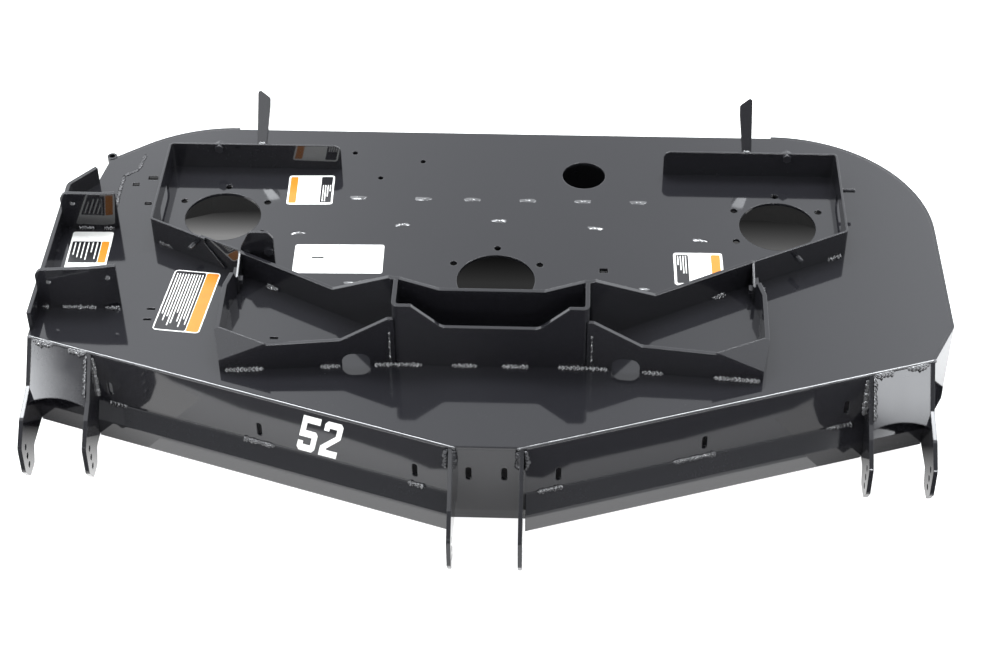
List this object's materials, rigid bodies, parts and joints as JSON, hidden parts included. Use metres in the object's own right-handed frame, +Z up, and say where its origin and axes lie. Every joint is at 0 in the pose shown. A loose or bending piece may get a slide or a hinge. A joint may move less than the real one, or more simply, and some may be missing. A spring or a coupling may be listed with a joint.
{
  "type": "lawn mower deck",
  "caption": "Welded steel cutting deck shell of a ride-on lawn mower, with spindle holes, front roller brackets, belt-side walls and an open side discharge.",
  "frame": {"origin": "axis of the centre spindle hole, on the top face of the top plate", "axes": "+X across the deck towards the closed end, +Y to the rear, +Z up along the spindle axis"},
  "size_m": [1.3763, 0.8435, 0.277],
  "materials": {
    "black_paint": "gloss black powder coat",
    "fastener": "gloss black powder coat over the fastener"
  },
  "bodies": {
    "root": {"anchor_bolt_1": "fastener", "anchor_bolt_2": "fastener", "anchor_plate": "black_paint", "box_front": "black_paint", "box_rear_plate": "black_paint", "discharge_edge_tube": "black_paint", "discharge_lip": "black_paint", "front_hinge_plate": "black_paint", "front_rib": "black_paint", "front_skirt": "black_paint", "left_arch_plate": "black_paint", "left_corner_gusset": "black_paint", "left_end_bolt": "fastener", "left_end_nut": "fastener", "left_end_plate": "black_paint", "left_front_stud": "fastener", "left_lift_tab": "black_paint", "left_link_plate": "black_paint", "left_nose_end": "black_paint", "left_nose_strip": "black_paint", "left_rear_bolt": "fastener", "left_rear_box": "black_paint", "left_rear_nut": "fastener", "left_rear_skirt": "black_paint", "left_wing_front": "black_paint", "rear_hinge_plate": "black_paint", "rear_rib": "black_paint", "rear_skirt": "black_paint", "right_arch_plate": "black_paint", "right_corner_gusset": "black_paint", "right_end_bolt": "fastener", "right_end_nut": "fastener", "right_end_plate": "black_paint", "right_end_skirt": "black_paint", "right_front_stud": "fastener", "right_lift_tab": "black_paint", "right_nose_end": "black_paint", "right_nose_strip": "black_paint", "right_rear_bolt": "fastener", "right_rear_box": "black_paint", "right_rear_nut": "fastener", "right_side_stud": "fastener", "right_wing_front": "black_paint", "roller_bracket_centre_left": "black_paint", "roller_bracket_centre_right": "black_paint", "roller_bracket_left_inner": "black_paint", "roller_bracket_left_outer": "black_paint", "roller_bracket_right_inner": "black_paint", "roller_bracket_right_outer": "black_paint", "top_plate": "black_paint"}
  },
  "joints": []
}
